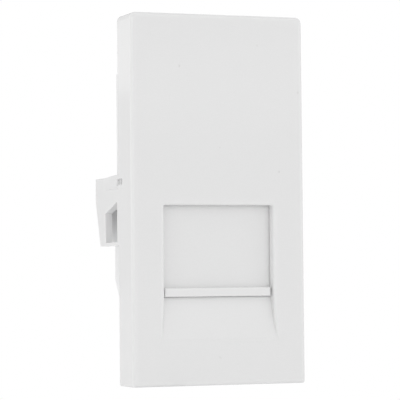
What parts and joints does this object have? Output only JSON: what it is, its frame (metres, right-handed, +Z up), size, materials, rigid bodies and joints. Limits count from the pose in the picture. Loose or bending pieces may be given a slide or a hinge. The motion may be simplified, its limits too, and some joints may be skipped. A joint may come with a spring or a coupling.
{
  "type": "telephone socket module",
  "caption": "Secondary telephone socket insert: white face plate with a spring-returned sliding shutter over the plug opening, snap clips at the sides and wire terminals behind.",
  "frame": {"origin": "centre of the skirt's rear rim, on the plane that seats on the mounting frame", "axes": "+Z up along the long side, +Y out of the back, +X to the right as the face is seen"},
  "size_m": [0.025, 0.021, 0.05],
  "materials": {
    "face_plastic": "satin",
    "shutter_plastic": "satin",
    "housing_plastic": "matt moulded",
    "comb_plastic": "matt moulded",
    "terminal_plastic": "matt moulded",
    "board_laminate": "solder resist",
    "spring_steel": "drawn",
    "contact_metal": "plated",
    "blade_metal": "tinned"
  },
  "bodies": {
    "module": {"face_plate": "face_plastic", "shutter_spring": "spring_steel", "socket_housing": "housing_plastic", "contact_comb": "comb_plastic", "circuit_board": "board_laminate", "terminal_block_left": "terminal_plastic", "terminal_block_right": "terminal_plastic", "contact_spring_1": "contact_metal", "contact_spring_2": "contact_metal", "contact_spring_3": "contact_metal", "contact_spring_4": "contact_metal", "contact_spring_5": "contact_metal", "contact_spring_6": "contact_metal", "idc_terminal_1": "blade_metal", "idc_terminal_2": "blade_metal", "idc_terminal_3": "blade_metal", "idc_terminal_4": "blade_metal", "idc_terminal_5": "blade_metal", "idc_terminal_6": "blade_metal"},
    "shutter": {"shutter": "shutter_plastic"}
  },
  "joints": [
    {"name": "shutter_slide", "type": "slide", "parent": "module", "child": "shutter", "axis": [0, 0, 1], "range_m": [0, 0.01095], "stiffness_N_per_m": 60, "springref_m": -0.006, "deforming": ["shutter_spring"]}
  ]
}
